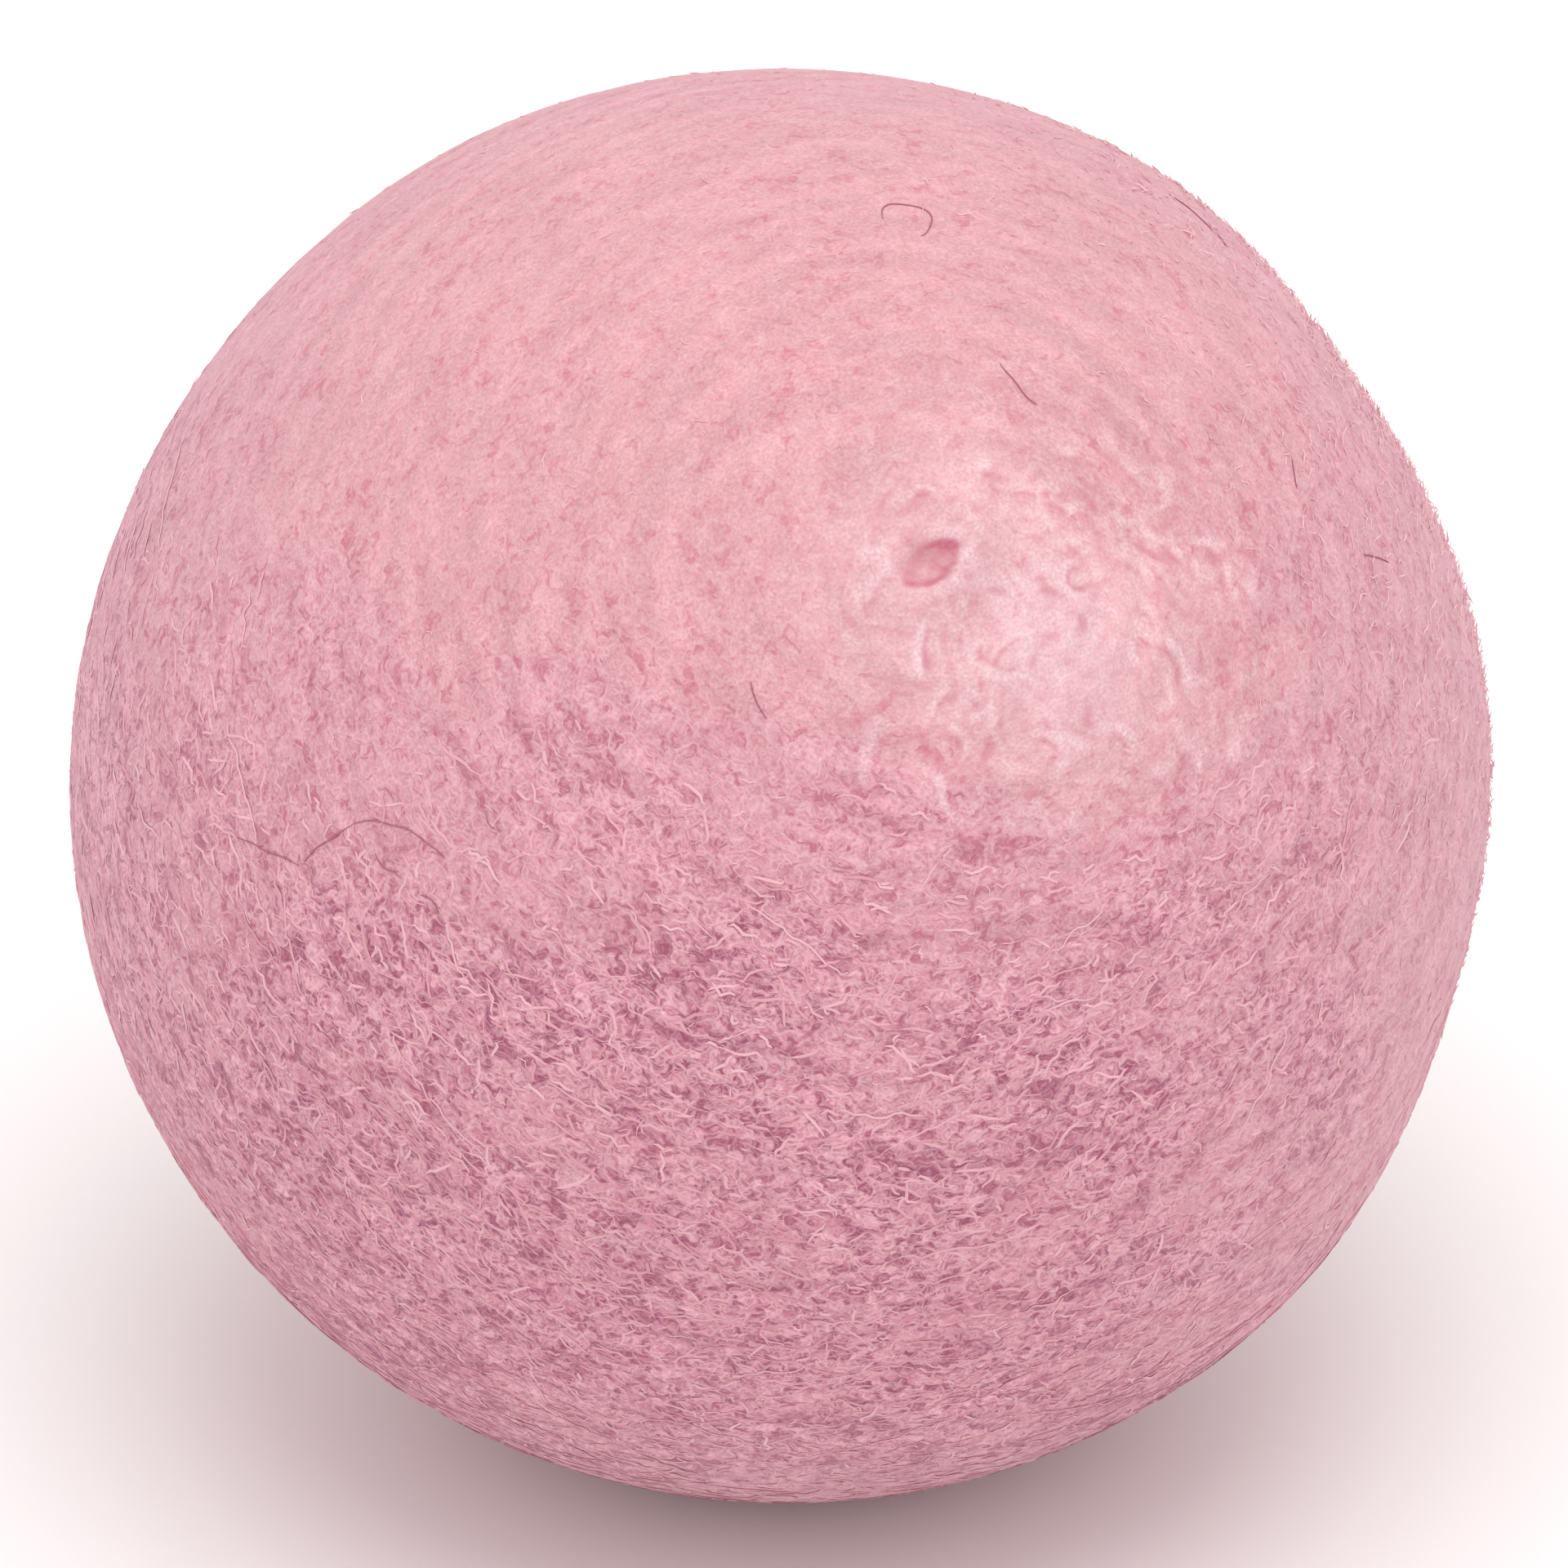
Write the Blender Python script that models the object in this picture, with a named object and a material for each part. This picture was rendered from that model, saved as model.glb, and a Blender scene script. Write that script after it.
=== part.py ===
"""Felt ball: a pink craft ball of wet-felted wool, 25 mm across.

The ball is one closed solid. It is a sphere pressed a little flatter on its right side, with a small
flat spot to rest on, a dimple where the winding of the wool ends, and the soft curls and folds that
lie round that dimple. Single fibres and fuzz are finer than this solid.

Metres, +Z up. The origin is on the resting surface, under the middle of the ball.
"""

import math
from collections import namedtuple

import bmesh
import bpy
from mathutils import Vector

MM = 0.001

# Driving sizes of the ball.
BALL_DIAMETER = 25.0 * MM
FLAT_SPOT_DIAMETER = 4.8 * MM

# Where the winding ends, as a direction from the ball's middle, in degrees.
WINDING_AZIMUTH = -73.4
WINDING_ELEVATION = 47.0

# The dimple at the end of the winding: an oval hollow with a raised lip along its lower right.
DIMPLE_LENGTH = 1.25 * MM
DIMPLE_WIDTH = 0.75 * MM
DIMPLE_DEPTH = 0.38 * MM
DIMPLE_TILT = 22.0
LIP_WIDTH = 0.36 * MM
LIP_HEIGHT = 0.13 * MM
LIP_BEARING = -50.0

# The surface is a grid: steps along each edge of the cube that is rounded into the ball, and how far
# the grid is drawn in towards the dimple, from 0 for even squares up to 1.
GRID_STEPS = 28
DRAWN_IN = 0.6
FINE_ROUND_FOOT = 19.0  # degrees from straight down within which each grid square is quartered
SNAP_TO_CUT = 0.03 * MM  # corners of the grid this near the cut are moved onto it

# The wool's turns round the dimple: one low ridge that winds outwards and fades towards the back.
TURN_SPACING = 2.1 * MM
TURN_HEIGHT = 0.025 * MM
TURNS_REACH = 110.0

# Broad rises and hollows of the whole ball: direction of the middle, height (negative is pressed in)
# and how far round the ball each one reaches.
Swell = namedtuple("Swell", "azimuth elevation height reach")
SWELLS = (
    # the pressed right side: a broad flat with two deeper places and a low rise between them
    Swell(azimuth=4, elevation=6, height=-0.29 * MM, reach=62),
    Swell(azimuth=21, elevation=31, height=-0.27 * MM, reach=24),
    Swell(azimuth=-10, elevation=-17, height=-0.21 * MM, reach=24),
    # the smooth raised patch beside the dimple
    Swell(azimuth=-60, elevation=36, height=0.07 * MM, reach=13),
    # low unevenness from rolling the ball by hand
    Swell(azimuth=-128, elevation=8, height=0.06 * MM, reach=40),
    Swell(azimuth=-88, elevation=-22, height=0.05 * MM, reach=34),
    Swell(azimuth=75, elevation=48, height=-0.10 * MM, reach=42),
    Swell(azimuth=112, elevation=-8, height=0.08 * MM, reach=36),
    Swell(azimuth=168, elevation=25, height=-0.12 * MM, reach=38),
    Swell(azimuth=150, elevation=-38, height=-0.07 * MM, reach=30),
)

# Curls of matted wool round the smooth patch, each an arc on the map round the dimple. across and up
# are the middle of the arc's circle from the dimple, start and sweep are degrees round that circle,
# and a negative height is a crease.
Curl = namedtuple("Curl", "across up radius start sweep height width")
CURLS = (
    Curl(-0.35 * MM, -3.25 * MM, 0.34 * MM, -50, 200, 0.09 * MM, 0.30 * MM),
    Curl(1.34 * MM, -3.62 * MM, 0.38 * MM, -85, 220, 0.12 * MM, 0.32 * MM),
    Curl(2.71 * MM, -3.64 * MM, 0.36 * MM, -70, 170, 0.09 * MM, 0.30 * MM),
    Curl(3.62 * MM, -2.45 * MM, 0.72 * MM, -35, 115, 0.12 * MM, 0.34 * MM),
    Curl(2.60 * MM, -2.75 * MM, 1.35 * MM, -14, 28, 0.08 * MM, 0.26 * MM),
    Curl(5.16 * MM, -0.56 * MM, 0.52 * MM, 20, 290, 0.08 * MM, 0.30 * MM),
    Curl(5.85 * MM, -1.10 * MM, 0.95 * MM, -12, 108, -0.12 * MM, 0.32 * MM),
    Curl(2.60 * MM, -0.05 * MM, 1.40 * MM, 0, 42, -0.08 * MM, 0.26 * MM),
    Curl(2.54 * MM, -0.63 * MM, 0.30 * MM, 60, 250, 0.07 * MM, 0.24 * MM),
    # the wrinkles that run side by side under the dimple
    Curl(-0.60 * MM, 1.60 * MM, 2.40 * MM, -88, 24, 0.06 * MM, 0.22 * MM),
    Curl(-0.60 * MM, 1.60 * MM, 2.85 * MM, -86, 22, 0.06 * MM, 0.22 * MM),
    Curl(-1.60 * MM, -0.40 * MM, 2.55 * MM, -58, 22, 0.06 * MM, 0.24 * MM),
)

# Pink wool: colour in linear light, and its dull, softly lit surface.
WOOL_COLOUR = (0.75, 0.37, 0.43, 1.0)
WOOL_ROUGHNESS = 0.95
WOOL_SHEEN = 0.4

BALL_RADIUS = BALL_DIAMETER / 2


def towards(azimuth, elevation):
    """The unit direction with this azimuth from +X and elevation from level, in degrees."""
    level = math.cos(math.radians(elevation))
    return Vector((
        level * math.cos(math.radians(azimuth)),
        level * math.sin(math.radians(azimuth)),
        math.sin(math.radians(elevation)),
    ))


WINDING_END = towards(WINDING_AZIMUTH, WINDING_ELEVATION)
ACROSS = Vector((0, 0, 1)).cross(WINDING_END).normalized()
UP = WINDING_END.cross(ACROSS)


def bell(distance, reach):
    """1 at no distance, falling smoothly to 0 at reach and past it."""
    if distance >= reach:
        return 0.0
    return 0.5 + 0.5 * math.cos(math.pi * distance / reach)


def map_round_dimple(direction):
    """The place in this direction as metres across and up from the dimple, along the surface."""
    from_dimple = direction.angle(WINDING_END)
    bearing = math.atan2(direction.dot(UP), direction.dot(ACROSS))
    along = BALL_RADIUS * from_dimple
    return along * math.cos(bearing), along * math.sin(bearing)


def degrees_past(start, bearing):
    """How many degrees, 0 to 360, a bearing lies past a starting one."""
    return (bearing - start) % 360


def dimple_height(across, up):
    """The hollow and its lip."""
    tilt = math.radians(DIMPLE_TILT)
    lengthways = across * math.cos(tilt) + up * math.sin(tilt)
    widthways = up * math.cos(tilt) - across * math.sin(tilt)
    rim = math.hypot(lengthways / (DIMPLE_LENGTH / 2), widthways / (DIMPLE_WIDTH / 2))
    hollow = -DIMPLE_DEPTH * bell(rim, 1.5)
    past_rim = abs(rim - 1.35) * DIMPLE_WIDTH / 2
    turned = degrees_past(LIP_BEARING + 180, math.degrees(math.atan2(up, across))) - 180
    lip = LIP_HEIGHT * bell(past_rim, LIP_WIDTH) * bell(abs(turned), 120)
    return hollow + lip


def curl_height(across, up, curl):
    """How much one curl raises or lowers this place, fading out at its two ends."""
    from_middle_across = across - curl.across
    from_middle_up = up - curl.up
    off_arc = abs(math.hypot(from_middle_across, from_middle_up) - curl.radius)
    if off_arc >= curl.width:
        return 0.0
    bearing = math.degrees(math.atan2(from_middle_up, from_middle_across))
    middle = curl.start + curl.sweep / 2
    from_middle = abs(degrees_past(middle + 180, bearing) - 180)
    return curl.height * bell(off_arc, curl.width) * bell(from_middle, 0.65 * curl.sweep)


def turns_height(across, up):
    """The low ridge left by the winding of the wool, a spiral round the dimple."""
    along = math.hypot(across, up)
    turn = along / TURN_SPACING - math.atan2(up, across) / math.tau
    fade = bell(math.degrees(along / BALL_RADIUS), TURNS_REACH)
    return TURN_HEIGHT * fade * math.sin(math.tau * turn)


def surface_height(direction):
    """How far the surface stands above the plain sphere in this direction."""
    height = sum(
        swell.height
        * bell(math.degrees(direction.angle(towards(swell.azimuth, swell.elevation))), swell.reach)
        for swell in SWELLS
    )
    across, up = map_round_dimple(direction)
    height += turns_height(across, up)
    height += dimple_height(across, up)
    height += sum(curl_height(across, up, curl) for curl in CURLS)
    return height


def grid_direction(corner):
    """The direction from the ball's middle for a point of the cube's grid, drawn in to the dimple."""
    rounded = Vector([math.tan(part * math.pi / 4) for part in corner]).normalized()
    from_top = rounded.angle(Vector((0, 0, 1)))
    drawn = from_top - DRAWN_IN * math.sin(from_top)
    level = Vector((rounded.x, rounded.y, 0))
    if level.length > 0:
        level.normalize()
    direction = level * math.sin(drawn) + Vector((0, 0, math.cos(drawn)))
    direction.rotate(Vector((0, 0, 1)).rotation_difference(WINDING_END))
    return direction.normalized()


def quarter_grid_round_foot(bm):
    """Halves the grid's edges near the foot, so that the flat spot gets a round rim."""
    nearly_down = math.cos(math.radians(FINE_ROUND_FOOT))
    edges = [edge for edge in bm.edges if all(-vert.co.z > nearly_down for vert in edge.verts)]
    bmesh.ops.subdivide_edges(bm, edges=edges, cuts=1, use_grid_fill=True)
    for vert in bm.verts:
        vert.co.normalize()


def cut_flat_spot(bm):
    """Slices the foot of the ball off level and closes the cut with one flat face."""
    spot_radius = FLAT_SPOT_DIAMETER / 2
    foot = -math.sqrt(BALL_RADIUS**2 - spot_radius**2)
    cut = bmesh.ops.bisect_plane(
        bm,
        geom=bm.verts[:] + bm.edges[:] + bm.faces[:],
        dist=SNAP_TO_CUT,
        plane_co=(0, 0, foot),
        plane_no=(0, 0, -1),
        clear_outer=True,
    )
    rim = [piece for piece in cut["geom_cut"] if isinstance(piece, bmesh.types.BMEdge)]
    for vert in {vert for edge in rim for vert in edge.verts}:
        vert.co.z = foot
    bmesh.ops.edgeloop_fill(bm, edges=rim)


def centre_on_foot(bm):
    """Moves the ball so that the origin is on its foot, under the middle of its outline."""
    low = Vector([min(vert.co[axis] for vert in bm.verts) for axis in range(3)])
    high = Vector([max(vert.co[axis] for vert in bm.verts) for axis in range(3)])
    middle = (low + high) / 2
    bmesh.ops.translate(bm, verts=bm.verts[:], vec=(-middle.x, -middle.y, -low.z))


def wool_material():
    """Dull pink wool with a slight sheen."""
    material = bpy.data.materials.new("felted_wool")
    material.use_nodes = True
    shader = material.node_tree.nodes["Principled BSDF"]
    shader.inputs["Base Color"].default_value = WOOL_COLOUR
    shader.inputs["Roughness"].default_value = WOOL_ROUGHNESS
    shader.inputs["Metallic"].default_value = 0.0
    shader.inputs["Sheen Weight"].default_value = WOOL_SHEEN
    material.diffuse_color = WOOL_COLOUR
    return material


def felt_ball():
    """The whole ball as one object."""
    bm = bmesh.new()
    bmesh.ops.create_cube(bm, size=2)
    bmesh.ops.subdivide_edges(bm, edges=bm.edges[:], cuts=GRID_STEPS - 1, use_grid_fill=True)
    for vert in bm.verts:
        vert.co = grid_direction(vert.co)
    quarter_grid_round_foot(bm)
    for vert in bm.verts:
        vert.co *= BALL_RADIUS + surface_height(vert.co)
    cut_flat_spot(bm)
    centre_on_foot(bm)
    bmesh.ops.recalc_face_normals(bm, faces=bm.faces[:])
    mesh = bpy.data.meshes.new("felt_ball")
    bm.to_mesh(mesh)
    bm.free()
    mesh.materials.append(wool_material())
    mesh.shade_smooth()
    ball = bpy.data.objects.new("felt_ball", mesh)
    bpy.context.scene.collection.objects.link(ball)
    return ball


def clear_scene():
    """Removes whatever objects the scene starts with."""
    for old in list(bpy.data.objects):
        bpy.data.objects.remove(old, do_unlink=True)


clear_scene()
felt_ball()
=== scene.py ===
"""Looks of the felt ball: matted pink wool with its strands, pits, soft curls, fuzz and stray hairs.

Everything is in metres in the part's own frame. The felt follows the solid ball, and the strands and
fuzz are grown on the felt, so all of them lie where the solid is.
"""

import math
from collections import namedtuple

import bpy
import numpy as np
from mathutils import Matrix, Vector
from mathutils.bvhtree import BVHTree


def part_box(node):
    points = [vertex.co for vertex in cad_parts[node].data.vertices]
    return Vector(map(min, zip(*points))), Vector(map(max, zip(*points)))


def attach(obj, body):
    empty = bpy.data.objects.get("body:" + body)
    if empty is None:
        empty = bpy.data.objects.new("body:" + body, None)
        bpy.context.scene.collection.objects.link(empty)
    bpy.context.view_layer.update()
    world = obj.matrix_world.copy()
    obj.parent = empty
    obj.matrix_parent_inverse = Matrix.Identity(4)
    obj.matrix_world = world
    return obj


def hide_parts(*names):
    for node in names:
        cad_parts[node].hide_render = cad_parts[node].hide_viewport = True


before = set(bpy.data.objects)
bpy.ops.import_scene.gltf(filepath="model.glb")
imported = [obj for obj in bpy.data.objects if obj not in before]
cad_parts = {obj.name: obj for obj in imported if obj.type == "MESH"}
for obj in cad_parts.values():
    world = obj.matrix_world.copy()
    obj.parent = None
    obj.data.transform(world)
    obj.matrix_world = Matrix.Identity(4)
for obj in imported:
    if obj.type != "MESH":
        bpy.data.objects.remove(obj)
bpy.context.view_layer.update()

MM = 0.001
ball_low, ball_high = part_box("felt_ball")

# The ball is a full sphere along Y, pressed in at +X and cut flat at the foot.
BALL_RADIUS = (ball_high[1] - ball_low[1]) / 2
BALL_MIDDLE = Vector((
    ball_low[0] + BALL_RADIUS,
    (ball_low[1] + ball_high[1]) / 2,
    ball_high[2] - BALL_RADIUS,
))

# Where the winding of the wool ends, in degrees, and how strongly the felt's grid is drawn in there.
WINDING_AZIMUTH = -73.4
WINDING_ELEVATION = 47.0
DRAWN_IN = 0.75
FELT_STEPS = 90  # squares along each side of the grid's six faces
TILE_MARGIN = 0.02  # of a tile of the flat map, left free on each side
SMOOTHING_ROUNDS = 40
DIMPLE_ROUNDS = 3
DIMPLE_REACH = 4.0  # mm from the winding's end within which the solid's form is hardly smoothed
EVEN_NEAR_END = 4.0  # mm from the winding's end within which its strands no longer run round it


def towards(azimuth, elevation):
    """The unit direction with this azimuth from +X and elevation from level, in degrees."""
    level = math.cos(math.radians(elevation))
    return Vector((
        level * math.cos(math.radians(azimuth)),
        level * math.sin(math.radians(azimuth)),
        math.sin(math.radians(elevation)),
    ))


WINDING_END = towards(WINDING_AZIMUTH, WINDING_ELEVATION)
ACROSS = Vector((0, 0, 1)).cross(WINDING_END).normalized()
UP = WINDING_END.cross(ACROSS)

MATH = "ShaderNodeMath"
VECTOR = "ShaderNodeVectorMath"
MIX = "ShaderNodeMix"
STORE = "GeometryNodeStoreNamedAttribute"
READ = "GeometryNodeInputNamedAttribute"


def linear(hex_colour):
    """A colour in linear light from sRGB hex."""
    parts = [int(hex_colour[place:place + 2], 16) / 255 for place in (1, 3, 5)]
    return tuple(
        part / 12.92 if part <= 0.04045 else ((part + 0.055) / 1.055) ** 2.4 for part in parts
    ) + (1.0,)


def add(tree, kind, inputs=(), **settings):
    """Adds one node. settings are its own choices. inputs are given in order, or by socket name, each
    a plain value or what feeds it: another node, for its first output, or one output."""
    made = tree.nodes.new(kind)
    for name, value in settings.items():
        setattr(made, name, value)
    shown = [socket for socket in made.inputs if socket.enabled]
    if isinstance(inputs, dict):
        pairs = [(next(s for s in shown if s.name == name), fed) for name, fed in inputs.items()]
    else:
        pairs = list(zip(shown, inputs))
    for socket, fed in pairs:
        if isinstance(fed, bpy.types.Node):
            fed = next(output for output in fed.outputs if output.enabled)
        if isinstance(fed, bpy.types.NodeSocket):
            tree.links.new(fed, socket)
        elif fed is not None:
            socket.default_value = fed
    return made


# -------------------- camera

CAMERA_ELEVATION = 30.0
CAMERA_LENS = 1500.0
SENSOR_WIDTH = 36.0
BALL_IN_VIEW = 0.919  # the ball's width as a share of the picture's
RIGHT_OF_MIDDLE = 0.0042  # how far right of the picture's middle the ball is, as a share of its width


def make_camera():
    """Looks down on the ball from the front, with the ball nearly filling the picture."""
    data = bpy.data.cameras.new("camera")
    data.lens = CAMERA_LENS
    data.sensor_width = SENSOR_WIDTH
    data.shift_x = -RIGHT_OF_MIDDLE
    data.clip_start = 0.01
    camera = bpy.data.objects.new("camera", data)
    bpy.context.scene.collection.objects.link(camera)
    back = towards(-90, CAMERA_ELEVATION)
    half_angle = math.atan(BALL_IN_VIEW * SENSOR_WIDTH / 2 / CAMERA_LENS)
    camera.location = BALL_MIDDLE + back * (BALL_RADIUS / math.sin(half_angle))
    camera.rotation_euler = (-back).to_track_quat("-Z", "Y").to_euler()
    bpy.context.scene.camera = camera


make_camera()

# -------------------- the felt's own surface


def rounded_grid(steps):
    """The surface grid of a cube rounded into a ball and drawn in towards the dimple: directions from
    the middle, four corners for each square, and each square's corners on a flat map of six tiles."""
    line = np.arange(steps + 1)
    first, second = (grid.ravel() for grid in np.meshgrid(line, line, indexing="ij"))
    points, squares, tiles = [], [], []
    for side in range(6):
        axis, far = side % 3, side // 3
        face = np.zeros(((steps + 1) ** 2, 3), int)
        face[:, axis] = far * steps
        face[:, (axis + 1) % 3] = first
        face[:, (axis + 2) % 3] = second
        corner = (line[:-1, None] * (steps + 1) + line[None, :-1]).ravel()
        ring = [corner, corner + steps + 1, corner + steps + 2, corner + 1]
        ring = np.stack(ring if far else ring[::-1], 1)
        squares.append(ring + side * len(face))
        points.append(face)
        on_tile = np.stack([first, second], 1) / steps * (1 - 2 * TILE_MARGIN) + TILE_MARGIN
        tiles.append(((on_tile + [side % 3, side // 3]) / [3, 2])[ring])
    lattice, at = np.unique(np.concatenate(points), axis=0, return_inverse=True)
    rounded = np.tan((2 * lattice / steps - 1) * math.pi / 4)
    rounded /= np.linalg.norm(rounded, axis=1)[:, None]
    from_top = np.arccos(np.clip(rounded[:, 2], -1, 1))
    drawn = from_top - DRAWN_IN * np.sin(from_top)
    level = np.maximum(np.hypot(rounded[:, 0], rounded[:, 1]), 1e-9)[:, None]
    level = rounded[:, :2] / level * np.sin(drawn)[:, None]
    axes = np.array([ACROSS, UP, WINDING_END])
    directions = np.column_stack([level, np.cos(drawn)]) @ axes
    return directions, at.ravel()[np.concatenate(squares)], np.concatenate(tiles)


def reach_of_solid(directions):
    """How far the solid ball's surface is from its middle in each direction."""
    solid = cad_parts["felt_ball"]
    corners = [solid.matrix_world @ vertex.co for vertex in solid.data.vertices]
    faces = [polygon.vertices[:] for polygon in solid.data.polygons]
    surface = BVHTree.FromPolygons(corners, faces)
    far = []
    for direction in directions:
        hit = surface.ray_cast(BALL_MIDDLE, Vector(direction))
        far.append(hit[3] if hit[3] is not None else BALL_RADIUS)
    return np.array(far)


def smoothed(values, squares, rounds):
    """values with each point moved towards the mean of its neighbours, to take out the solid's facets."""
    one = squares.ravel()
    other = np.roll(squares, -1, axis=1).ravel()
    points = len(values)
    count = np.bincount(one, minlength=points) + np.bincount(other, minlength=points)
    for _ in range(rounds):
        total = np.bincount(one, values[other], points) + np.bincount(other, values[one], points)
        values = (values + total / count) / 2
    return values


def bell(distance, reach):
    """1 at no distance, falling smoothly to 0 at reach and past it."""
    return 0.5 + 0.5 * np.cos(math.pi * np.clip(distance / reach, 0, 1))


# Parts of the ball where the wool differs, or where light and shade are painted on it: the middle of
# each and how far it reaches, in degrees.
Part = namedtuple("Part", "azimuth elevation reach")
MATTED_PATCH = Part(-60, 38, 24)
MATTED_ROUND_END = Part(WINDING_AZIMUTH, WINDING_ELEVATION, 22)
MATTED_RIGHT = Part(-2, 0, 75)
PALE_PATCH = Part(-62, 38, 17)
PALE_ROUND_END = Part(WINDING_AZIMUTH + 3, WINDING_ELEVATION - 2, 20)
# painted light: the right side and the left edge as if lit and sheened, and low at the front as if lit from
# below
PAINTED_LIGHT_RIGHT = Part(5, -22, 78)
PAINTED_LIGHT_LEFT = Part(175, -5, 50)
PAINTED_LIGHT_LOW_FRONT = Part(-90, -70, 46)
BARE_PATCH = Part(-58, 40, 24)
PRESSED_SIDE = Part(12, 22, 62)
CURLY_PATCH = Part(-60, 40, 40)
ROUND_SIDE = Part(180, 5, 75)

# The mat opens from the top down, partly the wool's own and partly painted shade: its darker, rosier
# colours lower down stand in for the overhead light grazing there. Heights are in shares of the radius
# above the ball's middle.
LOOSE_AT_TOP = 0.13
OPENS_BELOW = 0.92
OPEN_BELOW = 0.02


def near(directions, part):
    """1 at the middle of a part of the ball, falling smoothly to 0 where it ends."""
    middle = np.array(towards(part.azimuth, part.elevation))
    return bell(np.degrees(np.arccos(np.clip(directions @ middle, -1, 1))), part.reach)


def looseness(directions):
    """How open the wool's mat is: 0 where it is matted smooth, round the dimple and the patch beside
    it, rising to 1 on the lower half, where single strands lie over dark pits. The rise towards the
    bottom is partly painted shade, as the open mat's colours are darker."""
    low = np.clip((OPENS_BELOW - directions[:, 2]) / (OPENS_BELOW - OPEN_BELOW), 0, 1)
    loose = LOOSE_AT_TOP + (1 - LOOSE_AT_TOP) * low ** 2 * (3 - 2 * low)
    loose *= 1 - 0.97 * near(directions, MATTED_PATCH)
    loose *= 1 - 0.75 * near(directions, MATTED_ROUND_END)
    loose *= 1 - 0.55 * near(directions, MATTED_RIGHT)
    return np.clip(loose, 0, 1)


def pale_wool_and_painted_light(directions):
    """How pale the felt is made, 0 to 1: the smooth patch's own pale wool, and less so round the dimple.
    On both sides and low at the front it is painted light, as if light and sheen fell there."""
    return np.max([
        near(directions, PALE_PATCH),
        near(directions, PALE_ROUND_END) * 0.7,
        near(directions, PAINTED_LIGHT_RIGHT) * 0.6,
        near(directions, PAINTED_LIGHT_LEFT) * 0.4,
        near(directions, PAINTED_LIGHT_LOW_FRONT),
    ], axis=0)


def fuzziness(directions):
    """How thickly and how high loose fibre ends stand: most on the pressed side, least on the patch."""
    return (0.35 + 0.65 * near(directions, PRESSED_SIDE)) * (1 - 0.9 * near(directions, BARE_PATCH))


def curliness(directions):
    """How strongly the swirls of painted highlight and shade show: most round the smooth patch and
    beside the dimple.
    """
    return 0.2 + 0.8 * near(directions, CURLY_PATCH)


# Curls and creases of matted wool round the dimple, each an arc on the map round it, in mm and degrees.
# across and up are the middle of the arc's circle, start and sweep are measured round that circle. A
# curl is a low ridge with a painted highlight, and painted shade along its inner side for its crease.
# A crease has no height of its own: it is painted shade alone.
Mark = namedtuple("Mark", "across up radius start sweep height width strength", defaults=(0.7,))
MARKS = (
    Mark(-0.35, -3.25, 0.34, -50, 200, 0.05, 0.15),
    Mark(1.34, -3.62, 0.38, -85, 220, 0.06, 0.17),
    Mark(2.71, -3.64, 0.36, -70, 170, 0.05, 0.15),
    Mark(3.62, -2.45, 0.72, -35, 115, 0.06, 0.18),
    Mark(2.60, -2.75, 1.35, -14, 28, 0.05, 0.14),
    Mark(5.16, -0.56, 0.52, 20, 200, 0.05, 0.16, 0.5),
    Mark(5.16, -0.56, 0.22, 100, 160, 0.03, 0.12, 0.4),
    Mark(2.54, -0.63, 0.30, 60, 250, 0.04, 0.13),
    Mark(1.05, -2.60, 0.40, 20, 110, 0.04, 0.13),
    Mark(3.55, -1.95, 0.24, 0, 260, 0.03, 0.12),
    Mark(0.10, 1.05, 0.30, 10, 140, 0.03, 0.12),
    # creases alone
    Mark(5.85, -1.10, 0.95, -12, 108, 0, 0.16),
    Mark(2.60, -0.05, 1.40, 0, 42, 0, 0.13),
    Mark(2.05, 0.30, 1.20, 5, 34, 0, 0.10),
    Mark(-0.60, 1.60, 2.40, -88, 24, 0, 0.12, 0.5),
    Mark(-0.60, 1.60, 2.85, -86, 22, 0, 0.11, 0.4),
    Mark(-1.60, -0.40, 2.55, -58, 22, 0, 0.11, 0.4),
)
MARKS_RAISED = 0.25  # the wool is felted flat, so the curls stand at this share of their height

# Wisps of wool scattered over the patch: short soft arcs, most of them turned round its middle, each
# a curl or a crease painted in highlight and shade like those above. Places and sizes are in mm on the
# map, and each pair is the least and the most.
WISPS = 320
WISP_SEED = 5
PATCH_ACROSS, PATCH_UP = 2.0, -1.5
PATCH_REACH = 4.2
PATCH_FLATNESS = 0.85  # the patch's height as a share of its width
CLEAREST = (2.9, -1.9)  # where the patch is cleanest, with fainter wisps within CLEAR_REACH of it
CLEAR_REACH = 1.5
WISP_RADIUS = (0.35, 2.4)
WISP_LENGTH = (0.4, 1.4)
WISP_TURN = 45  # degrees by which a wisp strays from the patch's own round, on average
# the other wisps are creases alone: painted shade with no height of its own
RAISED_SHARE = 0.67  # the other wisps are creases alone
WISP_HEIGHT = (0.002, 0.010)
WISP_WIDTH = (0.10, 0.24)
WISP_STRENGTH = (0.12, 0.45)

# The dimple, an eye-shaped hollow, with its shade and a lit lip painted on. Lengths are in mm.
DIMPLE_LENGTH = 1.26
DIMPLE_WIDTH = 0.74
DIMPLE_TILT = 28.0  # degrees from level
EYE = 1.65  # 2 would make the dimple an ellipse, and less than that gives it pointed ends
# DIMPLE_RIM is the width of the line of painted shade round the dimple
DIMPLE_RIM = 0.26  # the width of the dark line round the dimple, as a share of the way to its middle


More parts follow.
